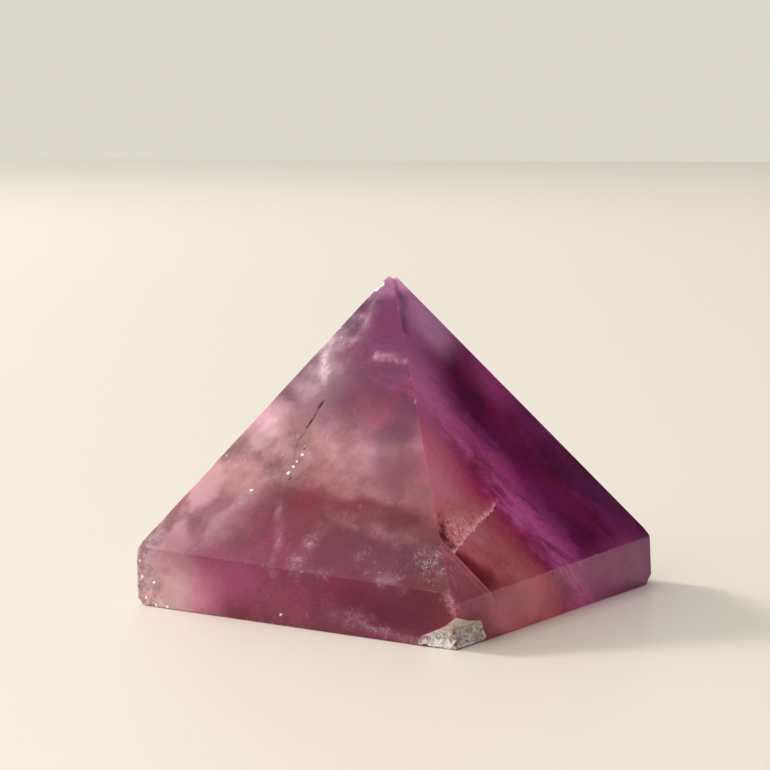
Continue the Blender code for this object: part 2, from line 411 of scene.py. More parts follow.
NICKS = 230
NICK_LENGTHS = (0.18, 0.55)  # half of a nick's length along its edge
NICK_DEPTHS = (0.05, 0.13)
NICK_MARGIN = 0.4  # a nick stays this far from the end of its edge
NICK_BREADTH, NICK_HEIGHT = 2.2, 2.0  # half sizes of its shell, as a share of its depth
NICK_SPACING = 1.3  # between two nicks' middles, as a share of their half lengths
LUMP_UNEVENNESS = 0.22
WORN_CORNER = Vector((-25.0, -10.0, 10.0)) * MM  # most nicks are within NICKED_REACH of here
NICKED_REACH = 32.0
SPARED_SHARE = 0.8  # of the nicks beyond it

# How the faces that carry broad markings are cut up: (way a side faces, axes, step in millimetres).
SLICES = (
    ((0, -1, 0), (0, 2), 0.6),
    ((1, 0, 0), (1, 2), 0.6),
    ((-1, 0, 0), (1, 2), 2.5),
)
SIDE_WAY = 0.4  # a face belongs to a side where the cosine between them is more than this
CHIP_SLICE = 0.3

# The relief of broken faces: (depth, size) of its two hollows, and the chip's small flat facets.
BREAK_HOLLOWS = ((0.10, 1.4), (0.05, 0.5))
CHIP_HOLLOWS = 0.4  # the share of the hollows' depth that the chip keeps
FACET_SIZE = 0.8
FACET_DEPTH = 0.5
FACET_SLOPE = 1.6
TILT_STEP = 7.3  # takes neighbouring facets far apart in the noise that tilts them
SMOOTH_ROOF = 0.15  # the share of the facets' depth that the chip's smooth roof keeps
CHIP_ROUGH_TOP = 2.0  # the height where the roof starts
ROOF_CHANGE = 0.4
FOOT_SHARE = 0.6  # relief takes off no more than this share of the height above the base


def new_object(name, bm):
    mesh = bpy.data.meshes.new(name)
    bm.to_mesh(mesh)
    bm.free()
    obj = bpy.data.objects.new(name, mesh)
    bpy.context.scene.collection.objects.link(obj)
    return obj


def ground_planes(bm):
    """(normal, distance from the origin) of each large flat face, in metres."""
    groups = {}
    for face in bm.faces:
        offset = face.normal.dot(face.calc_center_median())
        key = (*(round(c, 2) for c in face.normal), round(offset / MM, 1))
        area, normals, offsets = groups.setdefault(key, (0.0, Vector(), 0.0))
        share = face.calc_area()
        groups[key] = (area + share, normals + face.normal * share, offsets + offset * share)
    return [
        (normals.normalized(), offsets / area)
        for area, normals, offsets in groups.values()
        if area > GROUND_FACE_AREA * MM * MM
    ]


def below_faces(point, planes):
    """How deep a point lies below the nearest ground face."""
    return min(abs(offset - normal.dot(point)) for normal, offset in planes)


def slope(towards):
    """The sloping face that faces a way: (direction into the stone, its depth at the origin in mm)."""
    bm = bmesh.new()
    bm.from_mesh(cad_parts[NODE].data)
    normal, offset = max(ground_planes(bm), key=lambda plane: plane[0].dot(Vector(towards)))
    bm.free()
    return tuple(-normal), offset / MM


BEHIND_FRONT = slope((0, -1, 1))
BEHIND_RIGHT = slope((1, 0, 1))
BEHIND_LEFT = slope((-1, 0, 1))


def worn_edges(bm, planes):
    """(start, end, outward way) of the line along the middle of each rounded edge."""
    found = []
    for edge in bm.edges:
        if edge.calc_length() < 2 * NICK_MARGIN * MM or len(edge.link_faces) != 2:
            continue
        turn = edge.calc_face_angle_signed(0.0)
        deep = max(below_faces(v.co, planes) for v in edge.verts)
        near = all(
            SKIN_DEPTH * MM < below_faces(face.calc_center_median(), planes) < WORN_DEPTH * MM
            for face in edge.link_faces
        )
        if near and turn > LEAST_TURN and deep < WORN_DEPTH * MM:
            outward = (edge.link_faces[0].normal + edge.link_faces[1].normal).normalized()
            start, end = (v.co.copy() for v in sorted(edge.verts, key=lambda v: tuple(v.co)))
            found.append((start, end, outward))
    return sorted(found, key=lambda e: (tuple(e[0]), tuple(e[1])))


def lump(bm, middle, half_sizes, along, out, draw):
    """A small uneven shell, with its long side along an edge."""
    side = out.cross(along).normalized()
    turn = Matrix((along, side, out)).transposed()
    made = bmesh.ops.create_icosphere(bm, subdivisions=1, radius=1.0)
    for vertex in made["verts"]:
        swell = 1 + draw.uniform(-LUMP_UNEVENNESS, LUMP_UNEVENNESS)
        local = Vector(a * b for a, b in zip(vertex.co, half_sizes)) * swell
        vertex.co = middle + turn @ local


def nick_cutter(edges, draw):
    """Many small bites out of the edges, as one cutter whose shells stay apart."""
    lengths = [(end - start).length for start, end, _ in edges]
    taken = []
    shells = bmesh.new()
    for _ in range(NICKS):
        start, end, out = draw.choices(edges, weights=lengths)[0]
        along = (end - start).normalized()
        half = draw.uniform(*NICK_LENGTHS) * MM
        depth = draw.uniform(*NICK_DEPTHS) * MM
        reach = (end - start).length - 2 * NICK_MARGIN * MM
        middle = start + along * (NICK_MARGIN * MM + draw.random() * reach)
        spared = (middle - WORN_CORNER).length > NICKED_REACH * MM and draw.random() < SPARED_SHARE
        if spared or any((middle - m).length < NICK_SPACING * (half + h) for m, h in taken):
            continue
        taken.append((middle, half))
        size = (half, NICK_BREADTH * depth, NICK_HEIGHT * depth)
        lump(shells, middle + out * depth, size, along, out, draw)
    return new_object("nicks", shells)


def cut_away(obj, cutter):
    """Takes the cutter's volume off the piece for good, and removes the cutter.

    The cut is made a thousand times larger, because it misses small details at the real size.
    """
    for piece in (obj, cutter):
        piece.data.transform(Matrix.Scale(1 / MM, 4))
    modifier = obj.modifiers.new("cut", "BOOLEAN")
    modifier.operation = "DIFFERENCE"
    modifier.solver = "EXACT"
    modifier.object = cutter
    graph = bpy.context.evaluated_depsgraph_get()
    mesh = bpy.data.meshes.new_from_object(obj.evaluated_get(graph))
    obj.modifiers.clear()
    mesh.transform(Matrix.Scale(MM, 4))
    obj.data = mesh
    bpy.data.objects.remove(cutter)


def reach_of(face, axis):
    """The face's lowest and highest place along an axis."""
    places = [v.co[axis] for v in face.verts]
    return min(places), max(places)


def slice_along(bm, faces, axis, step):
    """Cuts the faces by planes a step apart, and gives back all the faces that result."""
    along = Vector((axis == 0, axis == 1, axis == 2))
    waiting, done = {}, set()

    def sort_in(face, first):
        low, high = reach_of(face, axis)
        number = max(first, math.floor(low / step) + 1)
        if number * step < high:
            waiting.setdefault(number, []).append(face)
        else:
            done.add(face)

    for face in faces:
        sort_in(face, -math.inf)
    while waiting:
        number = min(waiting)
        parts = {part for face in waiting.pop(number) for part in (face, *face.edges, *face.verts)}
        cut = bmesh.ops.bisect_plane(
            bm, geom=list(parts), dist=1e-9, plane_co=along * number * step, plane_no=along
        )
        for part in cut["geom"]:
            if isinstance(part, bmesh.types.BMFace):
                above = part.calc_center_median()[axis] > number * step
                sort_in(part, number + 1) if above else done.add(part)
    return list(done)


def slice_up(bm, outwards, axes, step):
    """Cuts up the faces of one side, so that they can carry markings. No shape changes."""
    faces = [face for face in bm.faces if face.normal.dot(Vector(outwards)) > SIDE_WAY]
    for axis in axes:
        faces = slice_along(bm, faces, axis, step * MM)


def in_chip(place):
    return (place / MM - Vector(CHIP)).length < CHIP_REACH


def slice_chip(bm, planes):
    """Cuts up the corner chip's faces, so that they can be roughened."""
    faces = [
        face
        for face in bm.faces
        if in_chip(face.calc_center_median()) and break_kind(face, planes) == BROKEN
    ]
    for axis in (0, 1, 2):
        faces = slice_along(bm, faces, axis, CHIP_SLICE * MM)


def break_kind(face, planes):
    """Whether a face is ground flat, worn round at an edge, or broken."""
    deep = max(below_faces(v.co, planes) for v in face.verts)
    if deep > WORN_DEPTH * MM:
        return BROKEN
    flat = any(face.normal.dot(normal) > SAME_WAY for normal, _ in planes)
    return GROUND if flat and deep < GROUND_DEPTH * MM else WORN


def clamped(value):
    return min(max(value, 0.0), 1.0)


def crystal_facets(place):
    """The depth, from 0 to 1, of small flat facets that each tilt their own way."""
    cell = noise.voronoi(place / FACET_SIZE)[1][0]
    tilt = noise.noise_vector(cell * TILT_STEP)
    return clamped(0.5 + FACET_SLOPE * (place / FACET_SIZE - cell).dot(tilt))


def break_depth(place):
    """How deep the relief of a break is at a place, both in millimetres."""
    depth = sum(deep * (noise.noise(place / size) + 1) for deep, size in BREAK_HOLLOWS)
    if in_chip(place * MM):
        rough = clamped((CHIP_ROUGH_TOP - place.z) / ROOF_CHANGE + 0.5)
        rough = SMOOTH_ROOF + (1 - SMOOTH_ROOF) * rough
        depth = CHIP_HOLLOWS * depth + FACET_DEPTH * rough * crystal_facets(place)
    return min(depth, FOOT_SHARE * place.z)


def roughen(bm, layer):
    """Gives the broken faces small facets and hollows, inwards only, with their outlines kept."""
    moves = []
    for vertex in bm.verts:
        if all(face[layer] == BROKEN for face in vertex.link_faces):
            moves.append((vertex, -vertex.normal * break_depth(vertex.co / MM) * MM))
    for vertex, move in moves:
        vertex.co += move


def nicked_stone():
    """The CAD node's stone with tiny nicks along its edges, and the planes of its ground faces."""
    bm = bmesh.new()
    bm.from_mesh(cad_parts[NODE].data)
    bmesh.ops.remove_doubles(bm, verts=bm.verts[:], dist=SAME_PLACE * MM)
    bm.normal_update()
    planes = ground_planes(bm)
    edges = worn_edges(bm, planes)
    stone = new_object("fluorite_stone", bm)
    cut_away(stone, nick_cutter(edges, random.Random(SEED)))
    return stone, planes


def refine(mesh, planes):
    """Cuts the faces up finely enough for the markings, and roughens the broken ones."""
    bm = bmesh.new()
    bm.from_mesh(mesh)
    bmesh.ops.triangulate(bm, faces=bm.faces[:], ngon_method="EAR_CLIP")
    bm.normal_update()
    for outwards, axes, step in SLICES:
        slice_up(bm, outwards, axes, step)
    slice_chip(bm, planes)
    bm.normal_update()
    layer = bm.faces.layers.float.new("break")
    for face in bm.faces:
        face[layer] = break_kind(face, planes)
    roughen(bm, layer)
    bm.to_mesh(mesh)
    bm.free()


def make_stone():
    """The stone, with finer wear on its edges, finer relief on its broken faces, and its markings."""
    stone, planes = nicked_stone()
    refine(stone.data, planes)
    paint_markings(stone.data)
    return stone


# ---------------------------------------------------------------- broad markings, kept on the mesh


# How far the markings' outlines stray from their lines and ellipsoids: (lump size, reach, seed).
OUTLINE_STRAYS = ((4.0, 0.9, 3), (1.3, 0.35, 5))
CLOUD_SIZE = 5.0
FINE_CLOUD_SIZE = 2.2

# Ranges, each as where something starts and where it is complete.
LEAVING_FRONT = (0.01, 0.05)  # depth behind the front face
ON_RIGHT_FACE = (1.0, 0.2)  # depth behind the right face
VEIL_GAPS = (0.36, 0.62)  # noise level
PALE_GAPS = (0.35, 0.62)

# The whitish places: how whitish each is, and the heights, depths and distances that bound it.
# The left side is partly milky and partly painted lighter, as light from the left comes into the
# stone.
LEFT_MILK_AND_LIGHT, LEFT_DEPTH, LEFT_TOP, LEFT_FOOT = 0.65, (14.0, 0.0), (33.0, 24.0), (4.0, 12.0)
CLOUD_PALENESS, CLOUD_DEPTH, CLOUD_TOP, CLOUD_FOOT = 0.4, (8.0, 1.0), (27.0, 21.0), (14.5, 18.0)
EDGE_PALENESS, EDGE_DISTANCE = 0.65, (8.0, 2.5)
PALE_APEX = (39.0, 40.4)
RIGHT_FACE_DIMMING, RIGHT_FACE_TOP = 0.85, (41.0, 39.5)

PATCH_CORE = 1.4  # a patch's own strength is cut off above 1 / PATCH_CORE of it
CLOUDED_PATCHES = (0.7, 0.6)  # its least share, and how much the clouds add
FRINGE = 3.2  # how far a veil's fringe reaches, as a share of its half width
HAZE_LEFT, DUST_LEFT = 0.45, 0.25  # in a veil's gaps
LEAST_HAZE_WIDTH = 0.6

WISPS_PER_MM = 0.9
WISP_LENGTHS = (0.8, 3.2)
WISP_WIDTHS = (0.25, 0.5)  # as a share of their veil's width


def ease(value, start, end):
    """0 at start and 1 at end, with a smooth change between."""
    share = np.clip((value - start) / (end - start), 0, 1)
    return share * share * (3 - 2 * share)


def strays(points, size, reach, seed):
    """A smooth random move of up to about reach millimetres for each point."""
    offset = Vector((seed, -seed, 2 * seed))
    return np.array([noise.noise_vector(Vector(p) / size + offset) for p in points]) * reach


def clouds(points, size, seed):
    """Smooth random numbers from 0 to 1, with detail down to an eighth of size."""
    offset = Vector((seed, 3 * seed, -seed))
    raw = np.array([noise.fractal(Vector(p) / size + offset, 1.0, 2.0, 4) for p in points])
    return np.clip(0.5 + 0.5 * raw, 0, 1)


def far_from(points, start, end):
    """Each point's distance to the line from start to end."""
    start, run = np.array(start), np.array(end) - np.array(start)
    share = np.clip((points - start) @ run / (run @ run), 0, 1)
    return np.linalg.norm(points - start - share[:, None] * run, axis=1)


def depth_of(points, face):
    inwards, start = face
    return points @ np.array(inwards) + start


def blob(points, centre, half_sizes):
    """1 in the middle of an ellipsoid, easing to 0 at its skin."""
    return ease(np.linalg.norm((points - centre) / half_sizes, axis=1), 1.0, 0.0)


def wisps(draw):
    """The veils, and the short side wisps that branch off them, mostly along the front face."""
    inwards = Vector(BEHIND_FRONT[0]).normalized()
    lines = []
    for start, end, width, haze, dust in VEILS:
        lines.append((start, end, width, haze, dust))
        start, run = Vector(start), Vector(end) - Vector(start)
        for _ in range(round(WISPS_PER_MM * run.length * (haze + dust))):
            root = start + run * draw.random()
            stray = Vector((draw.gauss(0, 1), draw.gauss(0, 1), draw.gauss(0, 1)))
            way = (run.normalized() * draw.choice((-1, 1)) * 0.8 + stray * 0.7).normalized()
            way -= inwards * way.dot(inwards) * 0.9
            tip = root + way * draw.uniform(*WISP_LENGTHS)
            lines.append((root, tip, width * draw.uniform(*WISP_WIDTHS), 0.45 * haze, 0.6 * dust))
    return lines


class Paint:
    """A colour and the share of it, built up layer by layer."""

    def __init__(self, count):
        self.colour = np.zeros((count, 3))
        self.share = np.zeros(count)

    def add(self, share, colour):
        share = np.clip(share, 0, 1)
        layer = np.array(linear(colour)[:3]) * share[:, None]
        self.colour = self.colour * (1 - share)[:, None] + layer
        self.share = 1 - (1 - self.share) * (1 - share)

    def plain(self):
        return self.colour / np.maximum(self.share, 1e-6)[:, None]


def stains_and_reflections(ragged, cloud, right, off_front):
    """The clouded and stained patches, with the right plinth's partly painted reflection. The front's
    don't show on the right face, or the other way.
    """
    paint = Paint(len(ragged))
    least, more = CLOUDED_PATCHES
    for patches, seen in ((FRONT_PATCHES, 1 - right), (RIGHT_PATCHES, off_front)):
        for centre, half_sizes, colour, strength in patches:
            share = np.minimum(PATCH_CORE * blob(ragged, centre, half_sizes), 1)
            paint.add(share * (least + more * cloud) * seen * strength, colour)
    return paint


def veils(ragged, whole):
    """The haze and the dust of the veils, where whole says how whole a veil is at each point."""
    haze, dust = np.zeros(len(ragged)), np.zeros(len(ragged))
    for start, end, width, haze_strength, dust_strength in wisps(random.Random(SEED + 1)):
        distance = far_from(ragged, start, end)
        middle = ease(distance, max(width, LEAST_HAZE_WIDTH), 0.0)
        fringe = ease(distance, FRINGE * width + 0.3, 0.0)
        haze = np.maximum(haze, (0.5 * middle + 0.5 * fringe) * haze_strength)
        dust = np.maximum(dust, ease(distance, FRINGE * width + 0.5, 0.2) * dust_strength)
    haze *= HAZE_LEFT + (1 - HAZE_LEFT) * whole
    dust *= DUST_LEFT + (1 - DUST_LEFT) * whole
    return haze, dust


def pale_marks(points, cloud, right):
    """Where the stone is whitish: the left side, partly milk and partly painted light from the left,
    the apex, and the cloud across the front.
    """
    z = points[:, 2]
    # The left side's paleness: partly milk, partly painted light.
    left = ease(depth_of(points, BEHIND_LEFT), *LEFT_DEPTH)
    left = LEFT_MILK_AND_LIGHT * left * ease(z, *LEFT_TOP) * ease(z, *LEFT_FOOT)
    across = ease(depth_of(points, BEHIND_FRONT), *CLOUD_DEPTH)
    across = CLOUD_PALENESS * across * ease(z, *CLOUD_TOP) * ease(z, *CLOUD_FOOT)
    apex = ease(z, *PALE_APEX)
    edge = EDGE_PALENESS * ease(far_from(points, *WHITE_EDGE), *EDGE_DISTANCE)
    uneven = 0.35 + 0.65 * ease(cloud, *PALE_GAPS)
    seen = 1 - RIGHT_FACE_DIMMING * right * ease(z, *RIGHT_FACE_TOP)
    return np.maximum.reduce([left, apex, across, edge]) * uneven * seen


def vertex_places(mesh):
    places = np.empty(len(mesh.vertices) * 3)
    mesh.vertices.foreach_get("co", places)
    return places.reshape(-1, 3) / MM


def keep_numbers(mesh, name, values):
    attribute = mesh.attributes.new(name, "FLOAT", "POINT")
    attribute.data.foreach_set("value", values)


def keep_vectors(mesh, name, values):
    attribute = mesh.attributes.new(name, "FLOAT_VECTOR", "POINT")
    attribute.data.foreach_set("vector", values.ravel())


def paint_markings(mesh):
    """Writes the broad markings to the mesh: stains and their colour, and haze, dust and paleness."""
    points = vertex_places(mesh)
    ragged = points + sum(strays(points, *stray) for stray in OUTLINE_STRAYS)
    cloud = clouds(points, CLOUD_SIZE, 2)
    whole = ease(clouds(points, FINE_CLOUD_SIZE, 7), *VEIL_GAPS)
    off_front = ease(depth_of(points, BEHIND_FRONT), *LEAVING_FRONT)
    right = ease(depth_of(points, BEHIND_RIGHT), *ON_RIGHT_FACE) * off_front

    stained = stains_and_reflections(ragged, cloud, right, off_front)
    haze, dust = veils(ragged, whole)
    pale = pale_marks(points, cloud, right)
    # The patches' colour: stains, and on the right plinth partly painted reflection.
    keep_vectors(mesh, "stain", stained.plain())
    keep_numbers(mesh, "stain_share", stained.share)
    keep_vectors(mesh, "veil", np.stack([haze, dust, pale], axis=1))


# ---------------------------------------------------------------- fine markings, in the material


# Each range is (where something starts, where it is complete), and may end with (low, high), what it
# then is at its start and at its end. Depths, heights and bands are in millimetres. The numbers named
# after a noise, such as threads or frost, are its levels, from 0 to 1.
ALONG_BANDS, ACROSS_BANDS = 0.10, 0.95  # how closely the threads' noise is packed

MILK_DEPTH = (9.0, 0.5)  # behind the front face
MILK_FROM_RIGHT = (0.0, 12.0, 0.6, 1.0)  # behind the right face
ON_RIGHT = (1.5, 0.4)  # behind the right face
BESIDE_FRONT = (0.015, 0.08)  # behind the front face

THREAD_DRIFT = (5.0, 1.0)  # how far threads shift the bands, in clear stone and in milky stone
CLOUD_DRIFT = 7.0
PURPLE_FROM = (8.0, 12.0)
PURPLE_TO = (18.5, 16.0)
PLAIN_THREADS, PURPLE_THREADS, MILKY_THREADS = 0.12, 0.85, 0.1  # how strongly threads show
BRIGHT_THREADS = (0.34, 0.70, 0.62, 1.7)
DARK_THREAD_WIDTH, DARK_THREAD_GAIN = 0.03, 0.45
CLOUD_LIGHT = (0.30, 0.70, 0.72, 1.22)
GRAIN_LIGHT = (0.25, 0.75, 0.84, 1.16)
# Painted glow: the right face's colour is made brighter and pinker near the ridge, standing in for
# light that comes through the stone.
PAINTED_RIDGE_GLOW = (9.0, 1.0)  # behind the front face, on the right one
PAINTED_RIDGE_GLOW_GAIN = 1.65
PAINTED_GLOW_TINT = (4.0, 10.0, 0.14, 0.36)  # by band
PAINTED_GLOW_PINK = "#FFB0E0"
RIDGE_SHADE_WIDTH = 1.5
RIDGE_SHADE_PURPLE = "#4A1456"

FRACTURE_TOP = (12.4, 11.6)  # height
FRACTURE_SPREAD = (12.0, 7.0, 0.8, 5.0)  # how wide its dark side is, by height
FRACTURE_FOOT = (0.0, 7.0, 0.45, 1.0)
FRACTURE_LINE, SECOND_LINE = (0.16, 0.03), (0.14, 0.03)
SECOND_LINE_AWAY = 1.0
FRACTURE_DARK, FRACTURE_PALE, FRACTURE_BRIGHT = "#7E0822", "#D8809C", "#FFD4DC"

FLAKE_WAVE = 1.6
FLAKE_START, FLAKE_FADE, FLAKE_END = (-0.05, 0.08), (-0.4, 1.6), (-0.3, 0.3)
SHADE_BY_FRACTURE, SHADE_BY_RIDGE, SHADE_TOP = (3.2, 0.6), (2.6, 0.6), (16.5, 13.0)
FLAKE_RIM = (0.7, 0.1)
FLAKE_BRIGHTNESS = (0.8, 3.2, 0.3, 0.85)  # below its top
# The flake's painted light: a lit tone, a painted shade towards the fracture and the ridge, and a
# white pink painted reflection for its wrinkles and rim.
FLAKE_PAINTED_LIT, FLAKE_PAINTED_SHADE, FLAKE_PAINTED_REFLECTION = "#FF8A90", "#74102A", "#FFC4CC"
WRINKLE_WIDTH = 0.05

APEX_TOP = (35.0, 39.0)
PALE_PINK, APEX_PINK = "#F0CCD6", "#FFB8E4"
CORE_ENDS = ((27.0, 30.0), (34.6, 32.0))  # its heights
CORE_WIDTH, LEVEL_VEIL_WIDTH = 1.9, 0.75
EDGE_REACH = (6.0, 2.0)  # from the frosted edge
EDGE_DAPPLES = (0.54, 0.42, 0.0, 0.6)
EDGE_MAUVE = "#84606C"
HIGH_HAZE, LOW_HAZE, HAZE_CHANGE = "#FCE4EE", "#F0C4D4", (22.0, 14.0)
DUST_THREAD_WIDTH, DUST_THREAD_TOP = 0.022, (22.0, 15.0)
DUST_GRAINS, STRAY_SPECKS = (0.60, 0.70), (0.68, 0.80)
DUST_WHITE = "#FFF0F6"

# The painted glints: how far their outlines stray, and their white.
PAINTED_GLINT_STRAY = 0.9
PAINTED_GLINT_WHITE = "#FFF8F4"

CHIP_NEAR = (8.0, 6.0)  # from the chip's middle
CHIP_LOW = (2.2, 1.7)  # the height of its rough lower part
# The chip's cream is partly a painted reflection of the pale floor, and its white is partly painted
# highlight.
CHIP_ROOF_AND_REFLECTION, CHIP_PINK, CHIP_WHITE_AND_HIGHLIGHT = "#E2D8C6", "#DCB8B4", "#FFFEFC"
ROOF_FLECKS, LOW_FLECKS = "#B49C80", "#7C605C"
OTHER_BREAKS = "#EAD8D0"
SEAM_WIDTH, SEAM_BROWN = 0.22, "#7A5038"

CRACK_WIDTH, CRACK_OLIVE = 0.35, "#5C5038"

FLUORITE_IOR = 1.434
REFLECTION_LEVEL = 0.22
CLEARNESS = (0.62, 0.32)  # how much light goes straight in, in clear stone and in milky stone
POLISH_ROUGHNESS = (0.12, 0.2)  # in the same two
SCATTER_MM = 1.0
SCATTER_SHARES = (1.0, 0.6, 0.8)  # of SCATTER_MM, for red, green and blue light
LIGHT_LET_THROUGH = (0.75, 0.25, 0.62, 1.0)
ABSORPTION = 22.0  # per metre


def threaded(g, point):
    """Coordinates that stretch noise out along the growth bands."""
    across = g.times(g.dot(point, BAND_ACROSS), ALONG_BANDS)
    along = g.times(g.dot(point, BAND_ALONG), ALONG_BANDS)
    up = g.times(g.dot(point, THREAD_RISE), ACROSS_BANDS)
    return g.node("ShaderNodeCombineXYZ", across, along, up)


class Stone:
    """The places, depths and noises that the parts of the stone's look share."""

    def __init__(self, g):
        self.g = g
        self.point = g.point()
        slightly_moved = g.warped(self.point, size=9.0, reach=1.5, seed=3.0)
        self.moved = g.warped(slightly_moved, size=2.5, reach=0.35, seed=4.0)
        self.ragged = g.warped(self.point, size=3.0, reach=1.1, seed=5.0)

        self.z = g.dot(self.point, (0, 0, 1))
        self.band = g.dot(self.moved, BAND_RISE)
        self.behind_front = g.depth(self.point, BEHIND_FRONT)
        self.from_ridge = g.depth(self.moved, BEHIND_FRONT)
        behind_right = g.depth(self.point, BEHIND_RIGHT)
        moved_behind_right = g.depth(self.moved, BEHIND_RIGHT)

        threads = threaded(g, self.moved)
        self.threads = g.noise(threads, size=1.3, detail=4.0, rough=0.58, seed=6.0)
        self.lines = g.noise(threads, size=2.2, detail=3.0, rough=0.55, seed=8.0)
        self.cloud = g.noise(self.point, size=4.5, detail=6.0, rough=0.66, seed=1.0)
        self.frost = g.noise(self.ragged, size=0.5, detail=3.0, rough=0.7, seed=2.0)
        self.web = g.noise(self.moved, size=1.5, detail=5.0, rough=0.78, seed=12.0)

        near = g.smooth(self.from_ridge, *MILK_DEPTH)
        self.milk = g.times(near, g.smooth(moved_behind_right, *MILK_FROM_RIGHT))
        beside = g.smooth(self.behind_front, *BESIDE_FRONT)
        self.on_right = g.times(g.smooth(behind_right, *ON_RIGHT), beside)
        self.broken = g.attribute("break", "Fac")


def banded(s):
    """The growth bands, with bright and dark threads in the clear purple ones. The right face is
    painted brighter and pinker near the ridge, a painted glow of light that comes through the stone.
    """
    g = s.g
    drift = g.times(g.centred(s.threads), g.blend(s.milk, *THREAD_DRIFT))
    drift = g.add(drift, g.times(g.centred(s.cloud), CLOUD_DRIFT))
    shifted = g.add(s.band, drift)
    milky = g.ramp(shifted, MILKY_BANDS, BAND_SPAN)
    deep = g.ramp(shifted, DEEP_BANDS, BAND_SPAN)
    colour = g.mix(s.milk, deep, milky)

    purple = g.times(g.smooth(s.band, *PURPLE_FROM), g.smooth(s.band, *PURPLE_TO))
    strength = g.blend(purple, PLAIN_THREADS, PURPLE_THREADS)
    strength = g.times(strength, g.blend(s.milk, 1.0, MILKY_THREADS))
    bright = g.blend(strength, 1.0, g.smooth(s.threads, *BRIGHT_THREADS))
    dark = g.times(g.middles(s.lines, DARK_THREAD_WIDTH), strength)
    dark = g.blend(dark, 1.0, DARK_THREAD_GAIN)
    uneven = g.smooth(s.cloud, *CLOUD_LIGHT)
    grain = g.smooth(s.frost, *GRAIN_LIGHT)
    # Painted glow near the ridge, on the right face.
    ridge = g.times(s.on_right, g.smooth(s.behind_front, *PAINTED_RIDGE_GLOW))
    colour = g.lit(colour, bright, dark, uneven, grain, g.blend(ridge, 1.0, PAINTED_RIDGE_GLOW_GAIN))
    return g.mix(g.times(ridge, g.smooth(s.band, *PAINTED_GLOW_TINT)), colour, PAINTED_GLOW_PINK)


def fractured(s, colour):
    """The clean fracture seen through the right face: a dark side, a paler side, and bright lines."""
    g = s.g
    beyond = g.depth(s.point, FRACTURE)
    seen = g.times(s.on_right, g.smooth(s.z, *FRACTURE_TOP))
    share = g.maths("DIVIDE", beyond, g.smooth(s.z, *FRACTURE_SPREAD))
    wedge = g.times(g.smooth(share, 1.0, 0.15), g.smooth(beyond, -0.05, 0.05))
    wedge = g.times(wedge, g.smooth(s.z, *FRACTURE_FOOT))
    colour = g.mix(g.times(seen, wedge, 0.92), colour, FRACTURE_DARK)
    shade = g.times(s.on_right, g.line_mask(s.moved, RIDGE_SHADE, RIDGE_SHADE_WIDTH))
    colour = g.mix(g.times(shade, 0.95), colour, RIDGE_SHADE_PURPLE)
    colour = g.mix(g.times(seen, g.smooth(beyond, 0.05, -0.05), 0.25), colour, FRACTURE_PALE)
    first = g.smooth(g.maths("ABSOLUTE", beyond), *FRACTURE_LINE)
    second = g.smooth(g.maths("ABSOLUTE", g.add(beyond, SECOND_LINE_AWAY)), *SECOND_LINE)
    lines = g.any_of(first, g.times(second, 0.5))
    return g.mix(g.times(seen, lines, 0.6), colour, FRACTURE_BRIGHT)


def flaked(s, colour):
    """The flake, in painted light: a painted lit and shaded tone, and fine bright wrinkles and one
    bright ragged edge that are painted reflections of light.

    Also gives how bright each place of it is.
    """
    g = s.g
    wavy = g.add(g.depth(s.point, FLAKE_EDGE), g.times(g.centred(s.web), FLAKE_WAVE))
    below_top = g.depth(s.ragged, FLAKE_TOP)
    inside = g.times(
        s.on_right,
        g.smooth(wavy, *FLAKE_START),
        g.smooth(below_top, *FLAKE_FADE),
        g.smooth(g.depth(s.point, FRACTURE), *FLAKE_END),
    )
    by_fracture = g.smooth(g.depth(s.moved, FRACTURE), *SHADE_BY_FRACTURE)
    by_ridge = g.times(g.smooth(s.from_ridge, *SHADE_BY_RIDGE), g.smooth(s.z, *SHADE_TOP))
    shade = g.any_of(by_fracture, by_ridge)
    tone = g.mix(shade, FLAKE_PAINTED_LIT, FLAKE_PAINTED_SHADE)
    colour = g.mix(g.times(inside, g.blend(shade, 0.7, 0.95)), colour, tone)

    # The wrinkles and the rim are painted reflections of light.
    wrinkles = g.any_of(g.middles(s.web, WRINKLE_WIDTH), g.smooth(s.frost, 0.53, 0.62))
    wrinkles = g.times(wrinkles, g.blend(shade, 1.0, 0.4))
    wrinkles = g.times(wrinkles, g.smooth(below_top, *FLAKE_BRIGHTNESS))
    rim = g.times(g.smooth(wavy, *FLAKE_RIM), g.smooth(s.frost, 0.38, 0.5, 0.3, 1.0))
    bright = g.times(inside, g.any_of(wrinkles, rim))
    return g.mix(bright, colour, FLAKE_PAINTED_REFLECTION), bright


def clouded(s, colour, pale):
    """The whitish places, and the broad patches that the mesh carries."""
    g = s.g
    tint = g.mix(g.smooth(s.z, *APEX_TOP), PALE_PINK, APEX_PINK)
    colour = g.mix(pale, colour, tint)
    share = g.times(g.attribute("stain_share", "Fac"), g.smooth(s.cloud, 0.28, 0.60, 0.75, 1.0))
    colour = g.mix(share, colour, g.attribute("stain", "Color"))
    edge = g.smooth(g.far_from_line(s.point, *WHITE_EDGE), *EDGE_REACH)
    return g.mix(g.times(edge, g.smooth(s.web, *EDGE_DAPPLES)), colour, EDGE_MAUVE)


def narrow_veils(s):
    """The bright upright core, and the level veil by the ridge."""
    g = s.g
    ends = g.times(*[g.smooth(s.z, *end) for end in CORE_ENDS])
    core = g.line_mask(s.moved, CORE, CORE_WIDTH)
    core = g.times(core, core, ends, g.smooth(s.frost, 0.3, 0.6, 0.5, 0.8))
    level = g.line_mask(s.ragged, LEVEL_VEIL, LEVEL_VEIL_WIDTH)
    return core, g.times(level, g.smooth(s.cloud, 0.35, 0.6, 0.1, 0.55))


